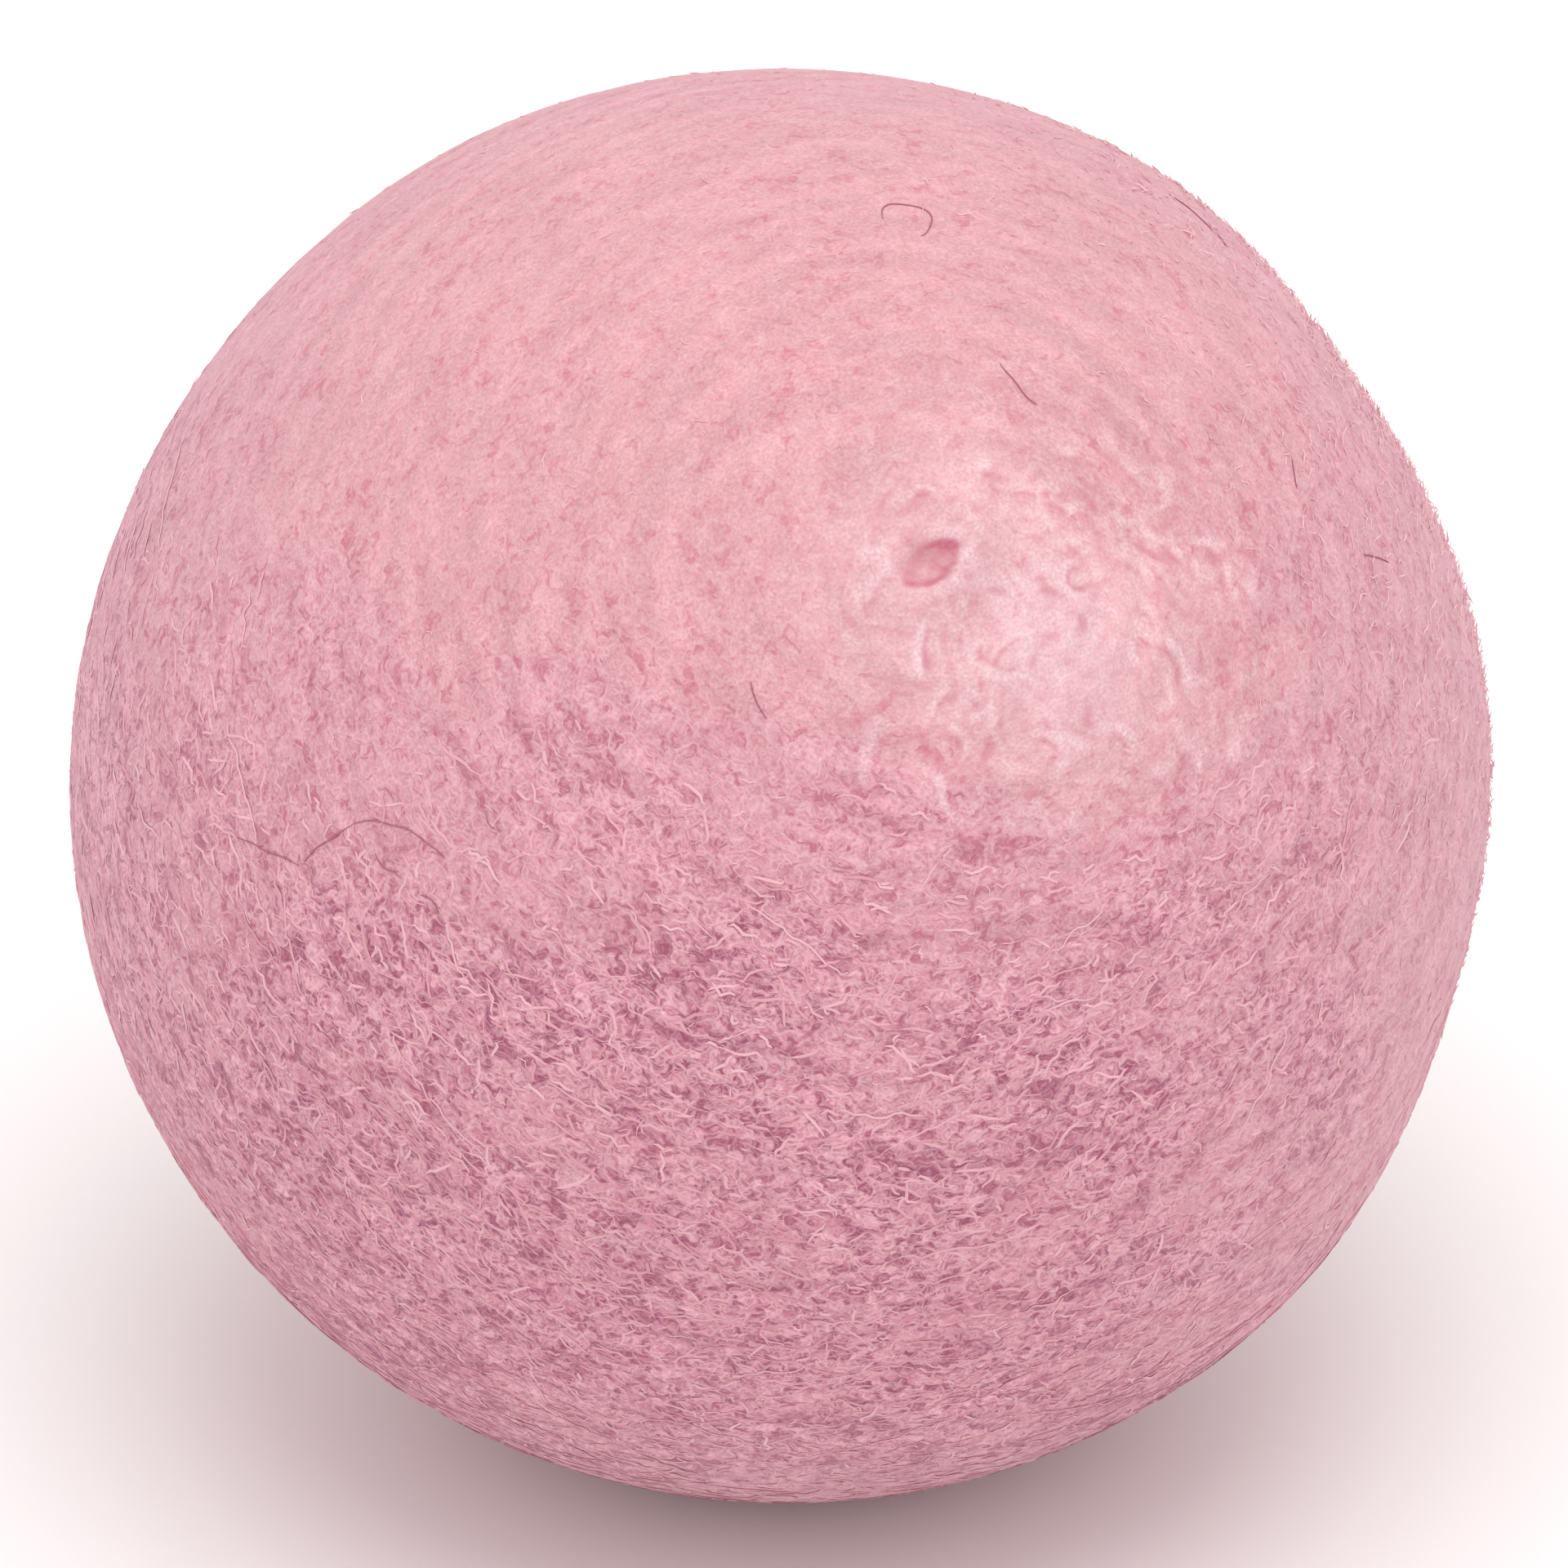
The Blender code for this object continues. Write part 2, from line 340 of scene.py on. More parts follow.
def wisps():
    """The scattered wisps, each an arc with a strength of its own."""
    chance = np.random.default_rng(WISP_SEED)
    scattered = []
    for _ in range(WISPS):
        away, bearing = PATCH_REACH * chance.random() ** 0.7, chance.uniform(0, 360)
        across = PATCH_ACROSS + away * math.cos(math.radians(bearing))
        up = PATCH_UP + PATCH_FLATNESS * away * math.sin(math.radians(bearing))
        radius = chance.uniform(*WISP_RADIUS)
        middle = bearing + chance.normal(0, WISP_TURN)
        sweep = math.degrees(chance.uniform(*WISP_LENGTH) / radius)
        raised = chance.random() < RAISED_SHARE
        shows = 0.25 + 0.75 * min(math.dist((across, up), CLEAREST) / CLEAR_REACH, 1)
        scattered.append(Mark(
            across - radius * math.cos(math.radians(middle)),
            up - radius * math.sin(math.radians(middle)),
            radius, middle - sweep / 2, sweep,
            chance.uniform(*WISP_HEIGHT) * raised, chance.uniform(*WISP_WIDTH),
            chance.uniform(*WISP_STRENGTH) * shows,
        ))
    return tuple(scattered)


def from_bearing(wanted, bearing):
    """How many degrees, 0 to 180, a bearing lies from a wanted one on either side."""
    return abs((bearing - wanted + 180) % 360 - 180)


def curls_on_map(across, up):
    """The height in mm of the curls at each place on the map round the dimple, and the painted light
    there: painted highlight on their ridges towards 1, painted shade in their creases towards -1."""
    height, tone = np.zeros(len(across)), np.zeros(len(across))
    for mark in MARKS + wisps():
        from_ring = np.hypot(across - mark.across, up - mark.up) - mark.radius
        bearing = np.degrees(np.arctan2(up - mark.up, across - mark.across))
        from_middle = from_bearing(mark.start + mark.sweep / 2, bearing)
        part = np.minimum(1.6 * bell(from_middle, 0.62 * mark.sweep), 1)
        height += MARKS_RAISED * mark.height * part * bell(abs(from_ring), mark.width)
        part *= mark.strength
        # painted highlight along each raised ridge, and painted shade along the crease inside it
        tone += part * bell(abs(from_ring), mark.width) * (mark.height > 0)
        crease = from_ring + 0.8 * mark.width * (mark.height > 0)
        tone -= 0.8 * part * bell(abs(crease), 0.7 * mark.width)
    return height, tone


def dimple_light_and_shade(across, up):
    """Painted shade in the dimple and on the line round it, heaviest on two sides, and a painted
    highlight on one side of the lip outside that. rim is 0 at the dimple's middle and 1 at its edge,
    and bearings go round from its right end."""
    tilt = math.radians(DIMPLE_TILT)
    lengthways = across * math.cos(tilt) + up * math.sin(tilt)
    widthways = up * math.cos(tilt) - across * math.sin(tilt)
    rim = abs(lengthways / (DIMPLE_LENGTH / 2)) ** EYE + abs(widthways / (DIMPLE_WIDTH / 2)) ** EYE
    rim **= 1 / EYE
    bearing = np.degrees(np.arctan2(widthways, lengthways))
    # the painted shade is heaviest on two sides of the rim, and the painted highlight lies on one side of
    # the lip
    strong = np.maximum(bell(from_bearing(25, bearing), 90), bell(from_bearing(230, bearing), 95))
    inside = bell(np.maximum(rim - 0.6, 0), 0.4)
    dark = (0.2 + strong) * bell(abs(rim - 0.88), DIMPLE_RIM) + 0.5 * inside
    pale = 0.5 * bell(abs(rim - 1.35), 0.35) * bell(from_bearing(310, bearing), 110)
    return pale - dark


def felt_mesh():
    """The felt's surface on the solid ball's form, with the maps that its wool follows."""
    directions, squares, tiles = rounded_grid(FELT_STEPS)
    reach = reach_of_solid(directions)
    from_end = np.arccos(np.clip(directions @ np.array(WINDING_END), -1, 1)) * BALL_RADIUS / MM
    bearing = np.arctan2(directions @ np.array(UP), directions @ np.array(ACROSS))
    round_dimple = bell(from_end, DIMPLE_REACH)
    far = round_dimple * smoothed(reach, squares, DIMPLE_ROUNDS)
    far += (1 - round_dimple) * smoothed(reach, squares, SMOOTHING_ROUNDS)
    # the side away from the pressed one is evenly round
    far += 0.8 * near(directions, ROUND_SIDE) * (BALL_RADIUS - far)
    on_map = from_end * np.cos(bearing), from_end * np.sin(bearing)
    height, tone = curls_on_map(*on_map)
    places = np.array(BALL_MIDDLE) + directions * (far + height * MM)[:, None]
    places[:, 2] = np.maximum(places[:, 2], 0)
    mesh = bpy.data.meshes.new("felted_wool")
    mesh.from_pydata(places.tolist(), [], squares.tolist())
    mesh.uv_layers.new(name="OFBake").data.foreach_set("uv", tiles.ravel())
    # Round the winding the map runs slowly and away from its end quickly, both in millimetres. At the
    # end itself it is even, so that nothing rings the dimple there.
    winding = np.column_stack([
        directions @ np.array(ACROSS) * (BALL_RADIUS / MM),
        directions @ np.array(UP) * (BALL_RADIUS / MM),
        np.hypot(from_end, EVEN_NEAR_END),
    ])
    mesh.attributes.new("winding", "FLOAT_VECTOR", "POINT").data.foreach_set("vector", winding.ravel())
    maps = {
        "loose": looseness(directions),
        "pale": pale_wool_and_painted_light(directions),
        # pale is the pale wool of the patch, with painted light on both sides and low at the front
        "fuzzy": fuzziness(directions),
        "curly": curliness(directions),
        # mark holds the painted highlight (towards 1) and painted shade (towards -1) of the curls and the
        # dimple
        "mark": np.clip(tone + dimple_light_and_shade(*on_map), -1, 1),
    }
    for name, values in maps.items():
        mesh.attributes.new(name, "FLOAT", "POINT").data.foreach_set("value", values)
    mesh.shade_smooth()
    return mesh


# -------------------- finishes

# The wool's colours: first where it is matted smooth, then where its mat is open. The open ones are
# darker partly as painted shade, as the mat opens lower on the ball.
GROUND = linear("#D29A9F"), linear("#BF798B")
STRAND = linear("#E2B8BC"), linear("#E6B2BC")
# the pits' colours are painted shade in the gaps between strands, partly deeper-toned wool
SHADED_PIT = linear("#C87081"), linear("#964C66")
# the smooth patch's own pale wool, also used as painted light on both sides and low at the front
PALE = linear("#DDB0B6")
# painted highlight on the ridges of curls and swirls
CURL_HIGHLIGHT = linear("#E6C4C7")
# painted shade in the creases of curls and swirls
CREASE_SHADE = linear("#BE6779")
# Single strands and fuzz: the darkest and the lightest fibre on each kind of felt.
STRAND_MATTED = linear("#D69FA5"), linear("#E0AEB4")
STRAND_OPEN = linear("#CE8E9B"), linear("#E4B3BC")
FUZZ_MATTED = linear("#DAABB1"), linear("#E8C1C6")
FUZZ_OPEN = linear("#D7A0AC"), linear("#E8BDC4")
STRAY = linear("#AC6A7B")
PAPER = linear("#F7F6F5")

FELT_ROUGHNESS = 0.95
STRAND_ROUGHNESS = 0.9
WOOL_SHINE = {
    "IOR": 1.5,
    "Specular IOR Level": 0.2,
    "Sheen Weight": 0.18,
    "Sheen Roughness": 0.5,
    "Sheen Tint": linear("#E4D8EC"),  # a cool tint, which turns the ball's edges towards mauve
}


def new_finish(name, settings):
    """A material with these settings of its shader, and its tree and shader."""
    material = bpy.data.materials.new(name)
    material.use_nodes = True
    shader = material.node_tree.nodes["Principled BSDF"]
    for socket, value in settings.items():
        shader.inputs[socket].default_value = value
    return material, material.node_tree, shader


def noise_at(tree, place, along, across, shift=0.0, **settings):
    """The value of a noise at a place on the winding's map. along and across are turns per mm."""
    stretched = add(tree, VECTOR, (place, (along, along, across), (shift, -1.7 * shift, 0.6 * shift)),
                    operation="MULTIPLY_ADD")
    sizes = {name.replace("_", " ").title(): value for name, value in settings.items()}
    return add(tree, "ShaderNodeTexNoise", {"Vector": stretched, "Scale": 1.0, **sizes})


def bent(tree, place, reads, turns, reach):
    """The place moved by up to reach mm each way, as a noise of so many turns per mm says."""
    bend = add(tree, "ShaderNodeTexNoise", {"Vector": reads, "Scale": turns, "Detail": 0.0})
    bend = add(tree, VECTOR, (bend.outputs["Color"], (2 * reach,) * 3, (-reach,) * 3),
               operation="MULTIPLY_ADD")
    return add(tree, VECTOR, (place, bend), operation="ADD")


def lines_in(tree, noise, half_width):
    """Curved lines where a noise crosses its middle value: 1 on the line, 0 from half_width off it."""
    off = add(tree, MATH, (noise, 0.5), operation="SUBTRACT")
    off = add(tree, MATH, (off,), operation="ABSOLUTE")
    return add(tree, MATH, (off, -1 / half_width, 1.0), operation="MULTIPLY_ADD", use_clamp=True)


# Webs of strands drawn on the felt: turns per mm along and across the winding, half the width of the
# lines as a change of the noise, how strong they are, and a shift that keeps each web different. Only
# the first stands up from the felt, with the rings of the cells.
STRAND_WEBS = (
    (4.4, 5.6, 0.09, 0.8, 21.3),
    (8.0, 9.4, 0.09, 0.6, 47.1),
)
CELLS = 2.3  # cells of the open mat per mm, each ringed by a thicker strand
CELL_WIDTH = 1.6  # times a cell's height
RING_HALF_WIDTH = 0.13  # of a cell's size
WEB_HEIGHT = 0.014 * MM
BEND = 0.22  # mm, how far the strands wander from the winding's own lines
FINE_BEND = 0.16  # mm, how far the rings of the cells wander
PITS_ALONG, PITS_ACROSS = 2.8, 4.9  # pits per mm along and across the winding


def drawn_webs(tree, finely, shown):
    """Thick strands that ring open cells, with finer webs of strands over them, 0 to 1, and those of
    them that stand up from the felt."""
    wide = add(tree, VECTOR, (finely, (1.0, 1.0, CELL_WIDTH)), operation="MULTIPLY")
    to_ring = add(tree, "ShaderNodeTexVoronoi", {"Vector": wide, "Scale": CELLS},
                  feature="DISTANCE_TO_EDGE").outputs["Distance"]
    webs = add(tree, MATH, (to_ring, -1 / RING_HALF_WIDTH, 1.0), operation="MULTIPLY_ADD", use_clamp=True)
    layers = []
    for along, across, half_width, strength, shift in STRAND_WEBS:
        lines = lines_in(tree, noise_at(tree, finely, along, across, shift, detail=1.0), half_width)
        lines = add(tree, MATH, (lines, strength), operation="MULTIPLY")
        webs = add(tree, MATH, (webs, lines), operation="MAXIMUM")
        layers.append(webs)
    return add(tree, MATH, (webs, shown), operation="MULTIPLY"), layers[0]


def drawn_pits(tree, finely, coming, loose, webs):
    """Small pits, 0 to 1, which the felt's finish paints dark as painted shade in the gaps between
    strands, partly deeper-toned wool: rare and in clusters where the wool is matted, closer together
    where it is open, and hidden under the webs. fewest is the value of the noise past which a pit begins."""
    pits = noise_at(tree, finely, PITS_ALONG, PITS_ACROSS, 9.1, detail=1.0, roughness=0.7)
    clustered = add(tree, MATH, (loose, -0.6, 1.0), operation="MULTIPLY_ADD")
    clusters = add(tree, "ShaderNodeMapRange", {"Value": coming, "From Min": 0.50, "From Max": 0.34,
                                                "To Max": clustered})
    fewest = add(tree, MATH, (loose, -0.14, 0.60), operation="MULTIPLY_ADD")
    fewest = add(tree, MATH, (clusters, -0.09, fewest), operation="MULTIPLY_ADD")
    most = add(tree, MATH, (fewest, 0.14), operation="ADD")
    pits = add(tree, "ShaderNodeMapRange", {"Value": pits, "From Min": fewest, "From Max": most},
               interpolation_type="SMOOTHSTEP")
    between = add(tree, MATH, (webs, -0.8, 1.0), operation="MULTIPLY_ADD")
    return add(tree, MATH, (pits, between), operation="MULTIPLY")


def drawn_swirls(tree, winding, curly, pale, loose):
    """Soft swirls where the wool is matted and curly: painted highlight towards 1, painted shade
    towards -1.
    """
    turning = add(tree, "ShaderNodeTexNoise", {"Vector": winding, "Scale": 1.5, "Detail": 2.0,
                                               "Roughness": 0.6, "Distortion": 1.4})
    swirls = add(tree, "ShaderNodeMapRange", {"Value": turning, "From Min": 0.36, "From Max": 0.64,
                                              "To Min": -1.0})
    matted = add(tree, MATH, (loose, -1.0, 1.0), operation="MULTIPLY_ADD")
    less_where_pale = add(tree, MATH, (pale, -0.6, 1.0), operation="MULTIPLY_ADD")
    for share in (matted, curly, less_where_pale):
        swirls = add(tree, MATH, (swirls, share), operation="MULTIPLY")
    return swirls


def felt_finish():
    """Felted wool: matted fibres, so a dull surface with a soft sheen at grazing light, pale curved
    strands that mostly follow the winding, and darker pits between them where the mat is open, their
    darkness painted shade, partly deeper-toned wool. The curls, swirls and dimple carry painted
    highlight and painted shade."""
    material, tree, shader = new_finish("felted wool", {"Roughness": FELT_ROUGHNESS, **WOOL_SHINE})
    winding = add(tree, "ShaderNodeAttribute", attribute_name="winding").outputs["Vector"]
    open_felt, pale, curly, mark = (
        add(tree, "ShaderNodeAttribute", attribute_name=name).outputs["Fac"]
        for name in ("loose", "pale", "curly", "mark")
    )
    # patches 2 to 4 mm wide that are a little more open, or darker, than the rest
    patches = noise_at(tree, winding, 0.32, 0.32, detail=0.0)
    uneven = add(tree, MATH, (patches, 1.1, 0.45), operation="MULTIPLY_ADD")
    loose = add(tree, MATH, (open_felt, uneven), operation="MULTIPLY", use_clamp=True)
    # where strands come to the top in the felt, and where they stay under it
    coming = noise_at(tree, winding, 1.1, 2.0, detail=0.0)
    shown = add(tree, "ShaderNodeMapRange", {"Value": coming, "From Min": 0.34, "From Max": 0.58,
                                             "To Min": 0.7})
    # the strands bend this way and that, and the rings of the cells more finely
    curled = bent(tree, winding, winding, 1.6, BEND)
    finely = bent(tree, curled, winding, 5.0, FINE_BEND)
    webs, standing = drawn_webs(tree, finely, shown)
    pits = drawn_pits(tree, finely, coming, loose, webs)
    swirls = drawn_swirls(tree, winding, curly, pale, loose)
    # fine grain of single fibres, and faint streaks laid down with the turns of the winding
    grain = noise_at(tree, winding, 17.0, 20.0, detail=0.0)
    streaks = noise_at(tree, winding, 0.6, 3.2, detail=0.0)

    ground = add(tree, MIX, (loose, *GROUND), data_type="RGBA")
    # pale wool on the patch, and painted light on both sides and low at the front
    ground = add(tree, MIX, (pale, ground, PALE), data_type="RGBA")
    strand = add(tree, MIX, (loose, *STRAND), data_type="RGBA")
    pit = add(tree, MIX, (loose, *SHADED_PIT), data_type="RGBA")
    strong = add(tree, MATH, (loose, 0.6, 0.4), operation="MULTIPLY_ADD")
    strong = add(tree, MATH, (strong, webs), operation="MULTIPLY")
    colour = add(tree, MIX, (strong, ground, strand), data_type="RGBA")
    # painted shade in the pits, partly deeper-toned wool, less where the felt is pale
    dark = add(tree, MATH, (loose, 0.4, 0.5), operation="MULTIPLY_ADD")
    less_where_pale = add(tree, MATH, (pale, -0.9, 1.0), operation="MULTIPLY_ADD")
    for share in (less_where_pale, pits):
        dark = add(tree, MATH, (dark, share), operation="MULTIPLY")
    colour = add(tree, MIX, (dark, colour, pit), data_type="RGBA")
    # the curls listed round the dimple, over the swirls
    # the curls' and swirls' painted light: painted highlight on ridges, painted shade in creases
    turned = add(tree, MATH, (swirls, 0.4, mark), operation="MULTIPLY_ADD")
    grainy = add(tree, MATH, (grain, 0.8, 0.6), operation="MULTIPLY_ADD")
    turned = add(tree, MATH, (turned, grainy), operation="MULTIPLY")
    curl_highlight = add(tree, MATH, (turned, 0.9), operation="MULTIPLY", use_clamp=True)
    colour = add(tree, MIX, (curl_highlight, colour, CURL_HIGHLIGHT), data_type="RGBA")
    crease_shade = add(tree, MATH, (turned, -0.8), operation="MULTIPLY", use_clamp=True)
    colour = add(tree, MIX, (crease_shade, colour, CREASE_SHADE), data_type="RGBA")
    light = add(tree, MATH, (grain, 0.36, 0.71), operation="MULTIPLY_ADD")
    light = add(tree, MATH, (streaks, 0.22, light), operation="MULTIPLY_ADD")
    colour = add(tree, VECTOR, {"Vector": colour, "Scale": light}, operation="SCALE")
    tree.links.new(colour.outputs[0], shader.inputs["Base Color"])
    height = add(tree, MATH, (open_felt, 0.6, 0.3), operation="MULTIPLY_ADD")
    height = add(tree, MATH, (standing, height), operation="MULTIPLY")
    bump = add(tree, "ShaderNodeBump", {"Strength": 1.0, "Distance": WEB_HEIGHT, "Height": height})
    tree.links.new(bump.outputs[0], shader.inputs["Normal"])
    return material


def strand_finish(name, matted, open_mat):
    """Single wool strands: the same dyed wool seen fibre by fibre, each a little lighter or darker.
    matted and open_mat are its darkest and lightest colour on each kind of felt."""
    material, tree, shader = new_finish(name, {"Roughness": STRAND_ROUGHNESS, **WOOL_SHINE})
    tone, loose = (
        add(tree, "ShaderNodeAttribute", attribute_name=label).outputs["Fac"]
        for label in ("tone", "loose")
    )
    on_matted = add(tree, MIX, (tone, *matted), data_type="RGBA")
    on_open = add(tree, MIX, (tone, *open_mat), data_type="RGBA")
    colour = add(tree, MIX, (loose, on_matted, on_open), data_type="RGBA")
    mixed = next(output for output in colour.outputs if output.enabled)
    tree.links.new(mixed, shader.inputs["Base Color"])
    return material


def plain_finish(name, colour):
    """Paper, or a single dark hair: one even colour with no gloss."""
    return new_finish(name, {"Base Color": colour, "Roughness": 1.0, "Specular IOR Level": 0.0})[0]


# -------------------- node trees that grow the wool


def new_tree(name, sizes):
    """An empty Geometry Nodes tree with these named inputs, and its input and output nodes."""
    tree = bpy.data.node_groups.new(name, "GeometryNodeTree")
    tree.interface.new_socket("Geometry", in_out="INPUT", socket_type="NodeSocketGeometry")
    tree.interface.new_socket("Geometry", in_out="OUTPUT", socket_type="NodeSocketGeometry")
    for size, value in sizes.items():
        kind = "NodeSocketInt" if isinstance(value, int) else "NodeSocketFloat"
        tree.interface.new_socket(size, in_out="INPUT", socket_type=kind)
    return tree, tree.nodes.new("NodeGroupInput"), tree.nodes.new("NodeGroupOutput")


def grown(name, felt, tree, sizes):
    """What the tree makes of the felt with these sizes, as a piece of its own with a plain mesh."""
    holder = bpy.data.objects.new(name + "_holder", felt)
    bpy.context.scene.collection.objects.link(holder)
    modifier = holder.modifiers.new(name, "NODES")
    modifier.node_group = tree
    for item in tree.interface.items_tree:
        if item.in_out == "INPUT" and item.name in sizes:
            modifier[item.identifier] = sizes[item.name]
    view = bpy.context.evaluated_depsgraph_get()
    made = holder.evaluated_get(view)
    mesh = bpy.data.meshes.new_from_object(made, preserve_all_data_layers=True, depsgraph=view)
    mesh.name = name
    bpy.data.objects.remove(holder, do_unlink=True)
    piece = bpy.data.objects.new(name, mesh)
    bpy.context.scene.collection.objects.link(piece)
    return piece


def finished(tree, result, wool, material):
    """Ends a tree with plain geometry that carries its finish."""
    wool = add(tree, "GeometryNodeRealizeInstances", {"Geometry": wool})
    wool = add(tree, "GeometryNodeSetMaterial", {"Geometry": wool, "Material": material})
    tree.links.new(wool.outputs[0], result.inputs[0])
    return tree


RELIEF_SIZES = {"Lump Height": 0.010 * MM, "Ripple Height": 0.008 * MM, "Seed": 3}


def relief_tree(material):
    """Raises the felt into soft uneven lumps and low ripples that run with the winding."""
    tree, given, result = new_tree("felt_relief", RELIEF_SIZES)
    winding = add(tree, READ, {"Name": "winding"}, data_type="FLOAT_VECTOR")
    shift = add(tree, VECTOR, (given.outputs["Seed"], (13.7, 5.1, 9.3)), operation="MULTIPLY")
    lumps_at = add(tree, VECTOR, (winding, shift), operation="ADD")
    lumps = add(tree, "ShaderNodeTexNoise",
                {"Vector": lumps_at, "Scale": 0.9, "Detail": 2.0, "Roughness": 0.5})
    ripples_at = add(tree, VECTOR, (winding, (0.8, 0.8, 2.6), shift), operation="MULTIPLY_ADD")
    ripples = add(tree, "ShaderNodeTexNoise",
                  {"Vector": ripples_at, "Scale": 1.0, "Detail": 3.0, "Roughness": 0.6, "Distortion": 0.4})
    raised = 0.0
    for noise, height in ((lumps, "Lump Height"), (ripples, "Ripple Height")):
        # a noise seldom strays more than a quarter from its middle value
        level = add(tree, MATH, (noise, 4.0, -2.0), operation="MULTIPLY_ADD")
        raised = add(tree, MATH, (level, given.outputs[height], raised), operation="MULTIPLY_ADD")
    normal = add(tree, "GeometryNodeInputNormal")
    offset = add(tree, VECTOR, {"Vector": normal, "Scale": raised}, operation="SCALE")
    moved = add(tree, "GeometryNodeSetPosition", {"Geometry": given.outputs["Geometry"], "Offset": offset})
    apart = add(tree, "ShaderNodeSeparateXYZ", (add(tree, "GeometryNodeInputPosition"),))
    above_floor = add(tree, MATH, (apart.outputs["Z"], 0.0), operation="MAXIMUM")
    back = add(tree, "ShaderNodeCombineXYZ", (apart.outputs["X"], apart.outputs["Y"], above_floor))
    rested = add(tree, "GeometryNodeSetPosition", {"Geometry": moved, "Position": back})
    return finished(tree, result, rested, material)


# Strands that lie flat on the open felt. None grow where the felt's map is under Bare Below. Wander is
# in degrees off the winding, Flatness is the share of a strand's height that is pressed out of it, and
# Map Columns is the number of strands in a row of the flat map.
STRAND_SIZES = {
    "Strands per Area": 4.6e6,
    "Bare Below": 0.4,
    "Least Length": 0.16 * MM,
    "Most Length": 0.90 * MM,
    "Radius": 0.030 * MM,
    "Wander": 75.0,
    "Wave Height": 0.10 * MM,
    "Wave Size": 0.22 * MM,
    "Lift": 0.014 * MM,
    "Flatness": 0.65,
    "Free Tip": 0.0,
    "Points": 6,
    "Seed": 1,
    "Map Columns": 80,
}
# A few long strands over them, which follow the winding more closely.
LONG_STRAND_SIZES = {
    **STRAND_SIZES,
    "Strands per Area": 6.0e5,
    "Least Length": 1.0 * MM,
    "Most Length": 3.6 * MM,
    "Radius": 0.021 * MM,
    "Wander": 38.0,
    "Wave Height": 0.12 * MM,
    "Wave Size": 0.45 * MM,
    "Lift": 0.022 * MM,
    "Points": 18,
    "Seed": 7,
    "Map Columns": 28,
}
# Fuzz: short stubs that stand on the felt with a free tip.
FUZZ_SIZES = {
    "Strands per Area": 1.1e7,
    "Bare Below": 0.3,
    "Least Length": 0.12 * MM,
    "Most Length": 0.38 * MM,
    "Radius": 0.011 * MM,
    "Wander": 180.0,
    "Wave Height": 0.08 * MM,
    "Wave Size": 0.15 * MM,
    "Lift": 0.10 * MM,
    "Flatness": 0.0,
    "Free Tip": 1.0,
    "Points": 4,
    "Seed": 11,
    "Map Columns": 96,
}


def straight_strands(tree, given, grows_by):
    """Straight strands of chance lengths on chance places of the felt, most of them near the winding's
    own line. Each carries its number, a tone, and rise, which says how high it stands."""
    seed = given.outputs["Seed"]

    def chance(step, least=0.0, most=1.0):
        turned = add(tree, MATH, (seed, 17.0, float(step)), operation="MULTIPLY_ADD")
        return add(tree, "FunctionNodeRandomValue", {"Min": least, "Max": most, "Seed": turned})

    thick = add(tree, READ, {"Name": grows_by}, data_type="FLOAT")
    density = add(tree, "ShaderNodeMapRange", {"Value": thick, "From Min": given.outputs["Bare Below"]})
    density = add(tree, MATH, (density, given.outputs["Strands per Area"]), operation="MULTIPLY")
    roots = add(tree, "GeometryNodeDistributePointsOnFaces",
                {"Mesh": given.outputs["Geometry"], "Density": density, "Seed": seed})
    points = roots.outputs["Points"]
    for label, value in (("tone", chance(1)), ("number", add(tree, "GeometryNodeInputIndex")),
                         ("rise", chance(2))):
        points = add(tree, STORE, {"Geometry": points, "Name": label, "Value": value}, domain="POINT")
    normal = roots.outputs["Normal"]
    along_winding = add(tree, VECTOR, (tuple(WINDING_END), normal), operation="CROSS_PRODUCT")
    lying = add(tree, "FunctionNodeAxesToRotation", (normal, along_winding),
                primary_axis="Z", secondary_axis="X")
    # a chance value times its own size keeps most strands close to the winding
    swing = chance(3, -1.0, 1.0)
    swing = add(tree, MATH, (swing, add(tree, MATH, (swing,), operation="ABSOLUTE")), operation="MULTIPLY")
    swing = add(tree, MATH, (swing, given.outputs["Wander"]), operation="MULTIPLY")
    swing = add(tree, MATH, (swing,), operation="RADIANS")
    turn = add(tree, "FunctionNodeAxisAngleToRotation", ((0.0, 0.0, 1.0), swing))
    lying = add(tree, "FunctionNodeRotateRotation", (lying, turn), rotation_space="LOCAL")
    straight = add(tree, "GeometryNodeCurvePrimitiveLine",
                   {"Start": (-0.5, 0.0, 0.0), "End": (0.5, 0.0, 0.0)})
    straight = add(tree, "GeometryNodeResampleCurve", {"Curve": straight, "Count": given.outputs["Points"]})
    mostly_short = add(tree, MATH, (chance(4), 1.6), operation="POWER")
    length = add(tree, MIX, {"Factor": mostly_short, "A": given.outputs["Least Length"],
                             "B": given.outputs["Most Length"]})
    placed = add(tree, "GeometryNodeInstanceOnPoints",
                 {"Points": points, "Instance": straight, "Rotation": lying, "Scale": length})
    return add(tree, "GeometryNodeRealizeInstances", {"Geometry": placed})


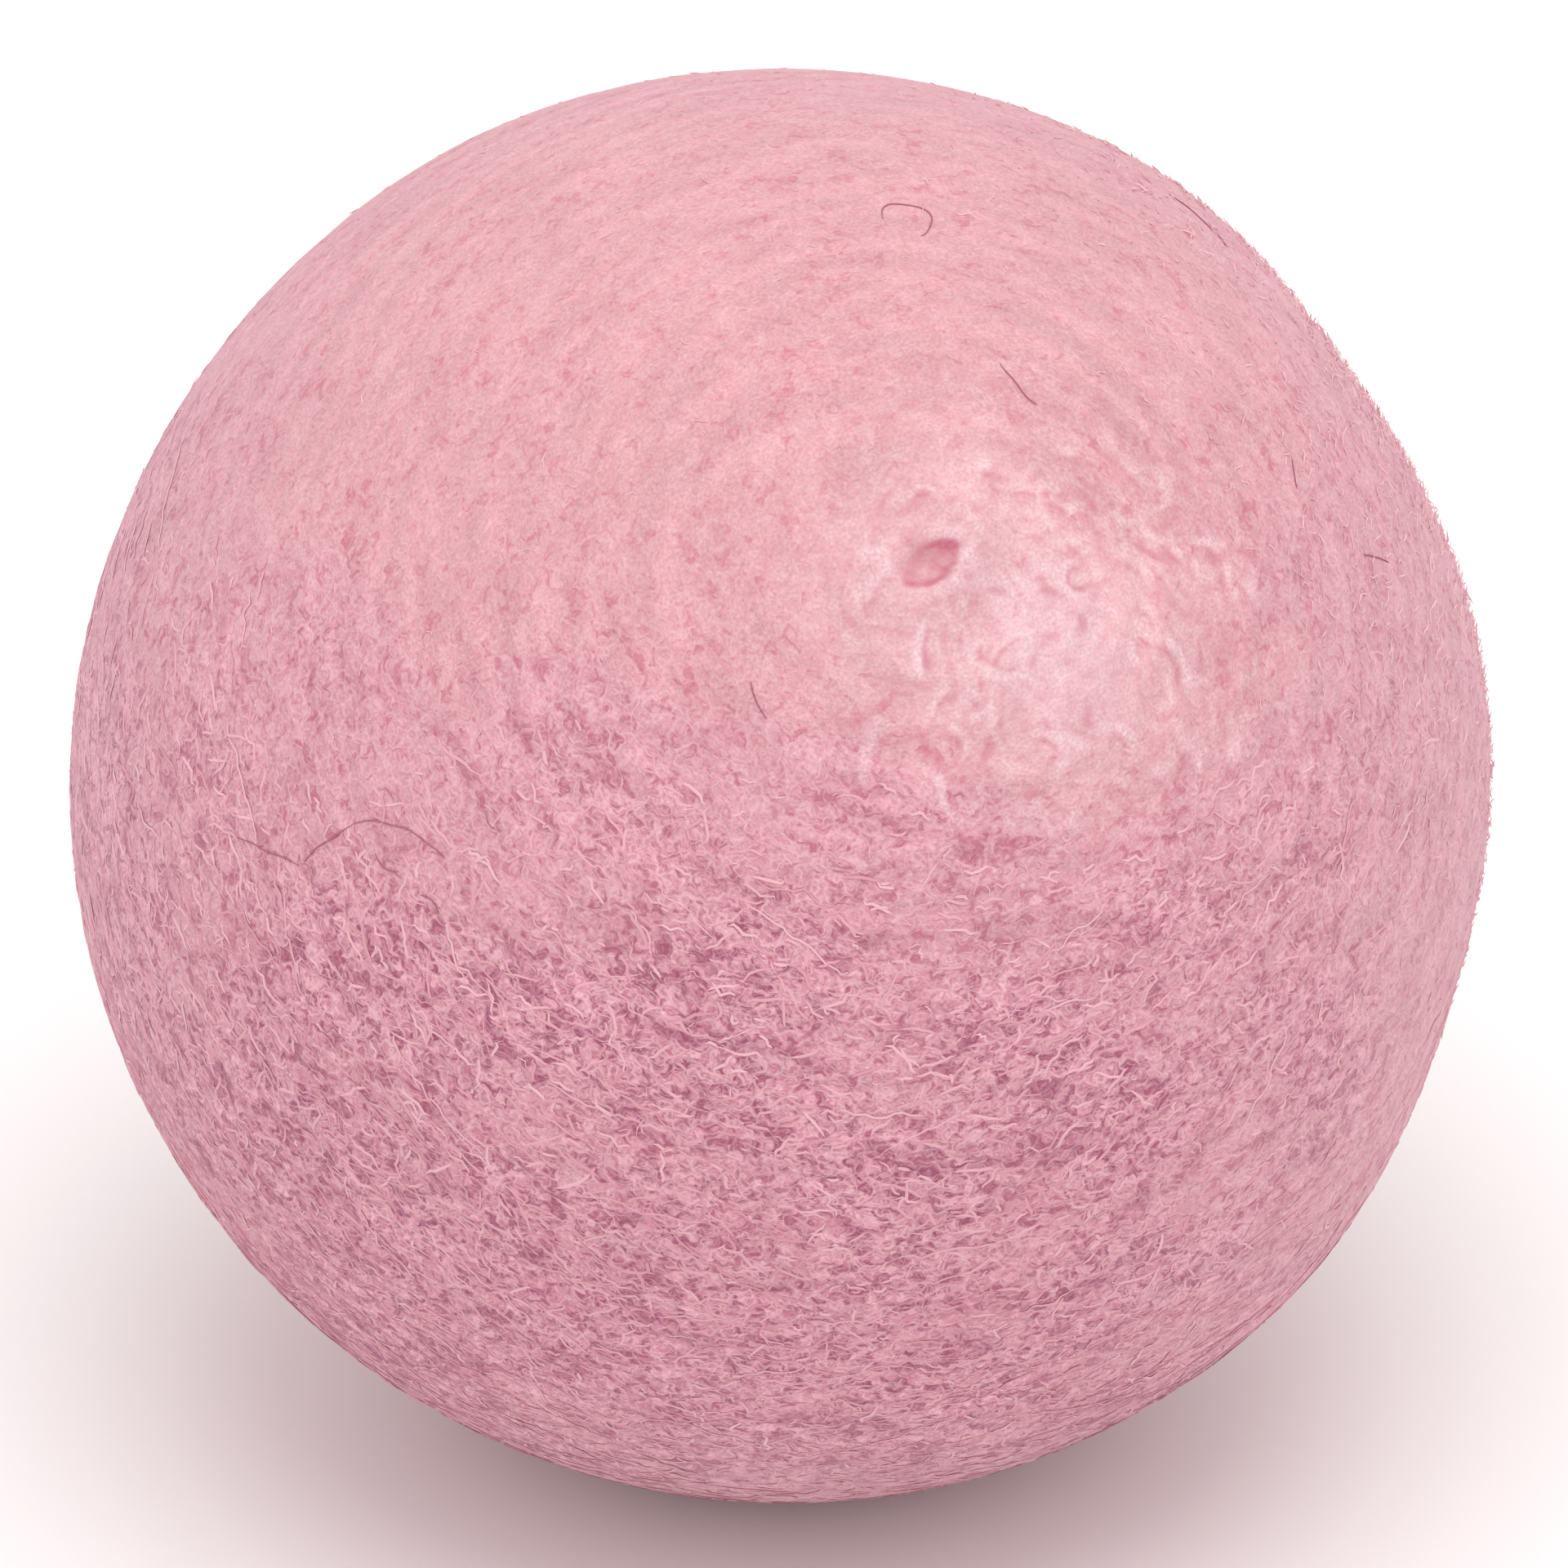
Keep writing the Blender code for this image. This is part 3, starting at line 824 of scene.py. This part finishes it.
def waved(tree, given, strands):
    """The strands with chance waves of the given size and height, each strand with its own."""
    position = add(tree, "GeometryNodeInputPosition")
    number = add(tree, READ, {"Name": "number"}, data_type="FLOAT")
    own = add(tree, VECTOR, {"Vector": (0.137, 0.071, 0.193), "Scale": number}, operation="SCALE")
    waves_at = add(tree, VECTOR, (position, given.outputs["Wave Size"]), operation="DIVIDE")
    waves_at = add(tree, VECTOR, (waves_at, own), operation="ADD")
    waves = add(tree, "ShaderNodeTexNoise",
                {"Vector": waves_at, "Scale": 1.0, "Detail": 1.0, "Roughness": 0.6})
    wave = add(tree, VECTOR, (waves.outputs["Color"], (4.0, 4.0, 4.0), (-2.0, -2.0, -2.0)),
               operation="MULTIPLY_ADD")
    wave = add(tree, VECTOR, {"Vector": wave, "Scale": given.outputs["Wave Height"]}, operation="SCALE")
    return add(tree, "GeometryNodeSetPosition", {"Geometry": strands, "Offset": wave})


def laid_on_felt(tree, given, strands):
    """The strands brought down on the felt, then up by each one's own height: a lying strand dips into
    the felt at both ends, and a standing one only at its root. Each point carries how far along its
    strand it is, its centre and the way out of the felt there."""
    felt = given.outputs["Geometry"]
    position = add(tree, "GeometryNodeInputPosition")
    along = add(tree, "GeometryNodeSplineParameter").outputs["Factor"]
    rise = add(tree, READ, {"Name": "rise"}, data_type="FLOAT")
    fuzzy = add(tree, READ, {"Name": "fuzzy"}, data_type="FLOAT")
    lying_height = add(tree, MATH, (rise, 1.2, 0.1), operation="MULTIPLY_ADD")
    lying_height = add(tree, MATH, (lying_height, arch_of(tree, along), -0.5), operation="MULTIPLY_ADD")
    standing_height = add(tree, MATH, (rise, 0.8, 0.4), operation="MULTIPLY_ADD")
    standing_height = add(tree, MATH, (standing_height, fuzzy), operation="MULTIPLY")
    standing_height = add(tree, MATH, (standing_height, along, -0.12), operation="MULTIPLY_ADD")
    height = add(tree, MIX, {"Factor": given.outputs["Free Tip"], "A": lying_height,
                             "B": standing_height})
    height = add(tree, MATH, (height, given.outputs["Lift"]), operation="MULTIPLY")
    on_felt = add(tree, "GeometryNodeProximity", {"Geometry": felt, "Sample Position": position},
                  target_element="FACES")
    normal = add(tree, "GeometryNodeInputNormal")
    outward = add(tree, "GeometryNodeSampleNearestSurface",
                  {"Mesh": felt, "Value": normal, "Sample Position": position},
                  data_type="FLOAT_VECTOR")
    lifted = add(tree, VECTOR, {"Vector": outward, "Scale": height}, operation="SCALE")
    lifted = add(tree, VECTOR, (on_felt.outputs["Position"], lifted), operation="ADD")
    apart = add(tree, "ShaderNodeSeparateXYZ", (lifted,))
    above_floor = add(tree, MATH, (apart.outputs["Z"], given.outputs["Radius"]), operation="MAXIMUM")
    lifted = add(tree, "ShaderNodeCombineXYZ", (apart.outputs["X"], apart.outputs["Y"], above_floor))
    laid = add(tree, "GeometryNodeSetPosition", {"Geometry": strands, "Position": lifted})
    laid = add(tree, STORE, {"Geometry": laid, "Name": "along", "Value": along}, domain="POINT")
    for label, value in (("centre", position), ("outward", outward)):
        laid = add(tree, STORE, {"Geometry": laid, "Name": label, "Value": value},
                   data_type="FLOAT_VECTOR", domain="POINT")
    return laid


def arch_of(tree, along):
    """A round arch over a strand: 0 at its ends and 1 in its middle."""
    arch = add(tree, MATH, (along, math.pi), operation="MULTIPLY")
    arch = add(tree, MATH, (arch,), operation="SINE")
    return add(tree, MATH, (arch, 0.5), operation="POWER")


def flat_tubes(tree, given, laid):
    """The strands as three-sided tubes that taper to their ends, with a thickness away from the felt
    that is less than their width. Each point carries how far around its tube it is."""
    along = add(tree, "GeometryNodeSplineParameter").outputs["Factor"]
    rise = add(tree, READ, {"Name": "rise"}, data_type="FLOAT")
    own = add(tree, MATH, (rise, 0.8, 0.6), operation="MULTIPLY_ADD")
    thickness = add(tree, MATH, (arch_of(tree, along), 0.75, 0.25), operation="MULTIPLY_ADD")
    for share in (own, given.outputs["Radius"]):
        thickness = add(tree, MATH, (thickness, share), operation="MULTIPLY")
    corner = add(tree, MATH, (add(tree, "GeometryNodeInputIndex"), 3.0), operation="DIVIDE")
    three_sided = add(tree, "GeometryNodeCurvePrimitiveCircle", {"Resolution": 3, "Radius": 1.0})
    three_sided = add(tree, STORE, {"Geometry": three_sided, "Name": "around", "Value": corner},
                      domain="POINT")
    tubes = add(tree, "GeometryNodeCurveToMesh",
                {"Curve": laid, "Profile Curve": three_sided, "Scale": thickness, "Fill Caps": True})
    centre, outward = (
        add(tree, READ, {"Name": label}, data_type="FLOAT_VECTOR") for label in ("centre", "outward")
    )
    position = add(tree, "GeometryNodeInputPosition")
    inward = add(tree, VECTOR, (centre, position), operation="SUBTRACT")
    down = add(tree, VECTOR, (inward, outward), operation="DOT_PRODUCT").outputs["Value"]
    down = add(tree, MATH, (down, given.outputs["Flatness"]), operation="MULTIPLY")
    down = add(tree, VECTOR, {"Vector": outward, "Scale": down}, operation="SCALE")
    return add(tree, "GeometryNodeSetPosition", {"Geometry": tubes, "Offset": down})


def mapped_apart(tree, given, tubes):
    """The tubes with a flat map, on which each strand has a cell of its own."""
    number, along, around = (
        add(tree, READ, {"Name": label}, data_type="FLOAT") for label in ("number", "along", "around")
    )
    columns = given.outputs["Map Columns"]
    cell = add(tree, MATH, (number, columns), operation="DIVIDE")
    row = add(tree, MATH, (cell,), operation="FLOOR")
    column = add(tree, MATH, (cell, row), operation="SUBTRACT")
    u = add(tree, MATH, (along, 0.85, 0.07), operation="MULTIPLY_ADD")
    u = add(tree, MATH, (u, columns), operation="DIVIDE")
    u = add(tree, MATH, (u, column), operation="ADD")
    v = add(tree, MATH, (around, 0.9, 0.15), operation="MULTIPLY_ADD")
    v = add(tree, MATH, (v, row), operation="ADD")
    v = add(tree, MATH, (v, columns), operation="DIVIDE")
    place = add(tree, "ShaderNodeCombineXYZ", (u, v))
    return add(tree, STORE, {"Geometry": tubes, "Name": "OFBake", "Value": place},
               data_type="FLOAT2", domain="CORNER")


# What only the strand tree needs. The finishes read the strands' other attributes.
WORKING_MAPS = "along around number rise winding pale fuzzy curly mark centre outward".split()


def strand_tree(name, grows_by, material):
    """Grows wavy strands on the felt, as thickly as its map called grows_by says. They lie on the felt,
    or stand with a free tip where Free Tip is 1."""
    tree, given, result = new_tree(name, STRAND_SIZES)
    strands = straight_strands(tree, given, grows_by)
    strands = waved(tree, given, strands)
    strands = laid_on_felt(tree, given, strands)
    strands = flat_tubes(tree, given, strands)
    strands = mapped_apart(tree, given, strands)
    for label in WORKING_MAPS:
        strands = add(tree, "GeometryNodeRemoveAttribute", {"Geometry": strands, "Name": label})
    # so few sides are lit truly only with flat shading; smooth shading turns half of each strand dark
    strands = add(tree, "GeometryNodeSetShadeSmooth", {"Geometry": strands, "Shade Smooth": False})
    return finished(tree, result, strands, material)


# -------------------- the ball's pieces

felt = grown("felt_body", felt_mesh(), relief_tree(felt_finish()), RELIEF_SIZES)
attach(felt, "root")
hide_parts("felt_ball")

strands = strand_tree("wool_strands", "loose", strand_finish("wool strands", STRAND_MATTED, STRAND_OPEN))
fuzz = strand_tree("wool_fuzz", "fuzzy", strand_finish("wool fuzz", FUZZ_MATTED, FUZZ_OPEN))
COATS = (
    ("strands_1", strands, STRAND_SIZES),
    ("strands_2", strands, {**STRAND_SIZES, "Seed": 2}),
    ("strands_3", strands, {**STRAND_SIZES, "Seed": 3}),
    ("strands_long", strands, LONG_STRAND_SIZES),
    ("fuzz_1", fuzz, FUZZ_SIZES),
    ("fuzz_2", fuzz, {**FUZZ_SIZES, "Seed": 12}),
)
for name, tree, sizes in COATS:
    coat = grown(name, felt.data, tree, sizes)
    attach(coat, "root")

# Darker single hairs that lie loose on the felt: where each starts, its heading there in degrees from
# level towards up, its length in mm, how far it turns, and how far it waves to each side in degrees.
# The first three rows make one long wavy hair, and the next two a small bent one.
Hair = namedtuple("Hair", "azimuth elevation heading length turn wave")
STRAY_HAIRS = (
    Hair(-142, 15, 4, 1.6, 0, 6),
    Hair(-134, 16, 55, 1.3, -15, 6),
    Hair(-130, 20.5, 30, 2.1, -60, 6),
    Hair(-127, 19, -60, 0.6, 80, 0),
    Hair(-122, 17, 20, 0.5, -90, 0),
    Hair(-48, 79, 60, 2.0, -250, 12),
    Hair(-52, 62, -100, 1.0, 30, 10),
    Hair(-20, 42, -145, 0.6, 10, 0),
    Hair(23, 55, -128, 1.6, -50, 14),
    Hair(-94, 38, -80, 0.7, 30, 0),
    Hair(-81, -17, 10, 0.2, 0, 0),
    Hair(-19, 32, -32, 0.9, -10, 0),
    Hair(165, 8, 60, 1.2, -50, 20),
    Hair(110, 25, 15, 2.2, 60, 25),
    Hair(60, -12, -20, 1.4, -45, 20),
    Hair(125, 40, 100, 1.7, 80, 20),
)
HAIR_STEP = 0.05 * MM
HAIR_RADIUS = 0.013 * MM
HAIR_SIDES = 5
HAIR_WAVE = 0.13 * MM  # along the hair, for each radian of a wave
WAVE_SHARE = 0.4  # of a hair's wave in each step


def stray_hairs(surface):
    """The stray hairs as one mesh of thin tubes that follow the felt. out is the way from the ball's
    middle to the hair's end so far, and ahead is the way it grows on."""
    felt_surface = BVHTree.FromPolygons([vertex.co for vertex in surface.vertices],
                                        [polygon.vertices[:] for polygon in surface.polygons])
    points, faces = [], []
    for hair in STRAY_HAIRS:
        out = towards(hair.azimuth, hair.elevation)
        level = Vector((0, 0, 1)).cross(out).normalized()
        heading = math.radians(hair.heading)
        ahead = level * math.cos(heading) + out.cross(level) * math.sin(heading)
        steps = round(hair.length * MM / HAIR_STEP)
        for step in range(steps + 1):
            hit = felt_surface.ray_cast(BALL_MIDDLE + out * (2 * BALL_RADIUS), -out)[0]
            centre = hit + out * (0.8 * HAIR_RADIUS)
            thin = HAIR_RADIUS * (1 - 0.6 * (2 * step / steps - 1) ** 4)
            for side in range(HAIR_SIDES):
                around = math.tau * side / HAIR_SIDES
                offset = out * math.cos(around) + ahead.cross(out) * math.sin(around)
                points.append(centre + offset * thin)
            if step:
                last = len(points) - HAIR_SIDES
                for side in range(HAIR_SIDES):
                    one, other = last + side, last + (side + 1) % HAIR_SIDES
                    faces.append((one - HAIR_SIDES, other - HAIR_SIDES, other, one))
            swing = hair.turn / steps + WAVE_SHARE * hair.wave * math.cos(step * HAIR_STEP / HAIR_WAVE)
            swing = math.radians(swing)
            ahead = (ahead * math.cos(swing) + out.cross(ahead) * math.sin(swing)).normalized()
            out = (out + ahead * (HAIR_STEP / BALL_RADIUS)).normalized()
            ahead = (ahead - out * ahead.dot(out)).normalized()
        first = len(points) - (steps + 1) * HAIR_SIDES
        faces.append(tuple(reversed(range(first, first + HAIR_SIDES))))
        faces.append(tuple(range(len(points) - HAIR_SIDES, len(points))))
    mesh = bpy.data.meshes.new("stray_hairs")
    mesh.from_pydata(points, [], faces)
    mesh.materials.append(plain_finish("stray hairs", STRAY))
    mesh.shade_smooth()
    piece = bpy.data.objects.new("stray_hairs", mesh)
    bpy.context.scene.collection.objects.link(piece)
    return piece


hairs = stray_hairs(felt.data)
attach(hairs, "root")

# -------------------- floor and light

FLOOR_HALF = 0.6
ROOM_LIGHT = 0.94
LAMP_ACROSS = 0.25
LAMP_POWER = 0.38  # watts
LAMP_AWAY = 0.3  # from the ball's middle


def make_floor():
    """A wide sheet of pale paper."""
    corners = [(x * FLOOR_HALF, y * FLOOR_HALF, 0) for x, y in ((-1, -1), (1, -1), (1, 1), (-1, 1))]
    mesh = bpy.data.meshes.new("floor")
    mesh.from_pydata(corners, [], [(0, 1, 2, 3)])
    mesh.materials.append(plain_finish("white paper", PAPER))
    floor = bpy.data.objects.new("floor", mesh)
    bpy.context.scene.collection.objects.link(floor)


def make_light():
    """A bright even room and one large soft lamp overhead, a little to the front."""
    world = bpy.data.worlds.new("studio")
    world.use_nodes = True
    background = world.node_tree.nodes["Background"]
    background.inputs["Color"].default_value = (1.0, 1.0, 1.0, 1.0)
    background.inputs["Strength"].default_value = ROOM_LIGHT
    bpy.context.scene.world = world
    data = bpy.data.lights.new("softbox", "AREA")
    data.shape = "DISK"
    data.size = LAMP_ACROSS
    data.energy = LAMP_POWER
    lamp = bpy.data.objects.new("softbox", data)
    away = towards(-84, 75)
    lamp.location = BALL_MIDDLE + away * LAMP_AWAY
    lamp.rotation_euler = (-away).to_track_quat("-Z", "Y").to_euler()
    bpy.context.scene.collection.objects.link(lamp)
    bpy.context.scene.view_settings.view_transform = "Standard"


make_floor()
make_light()
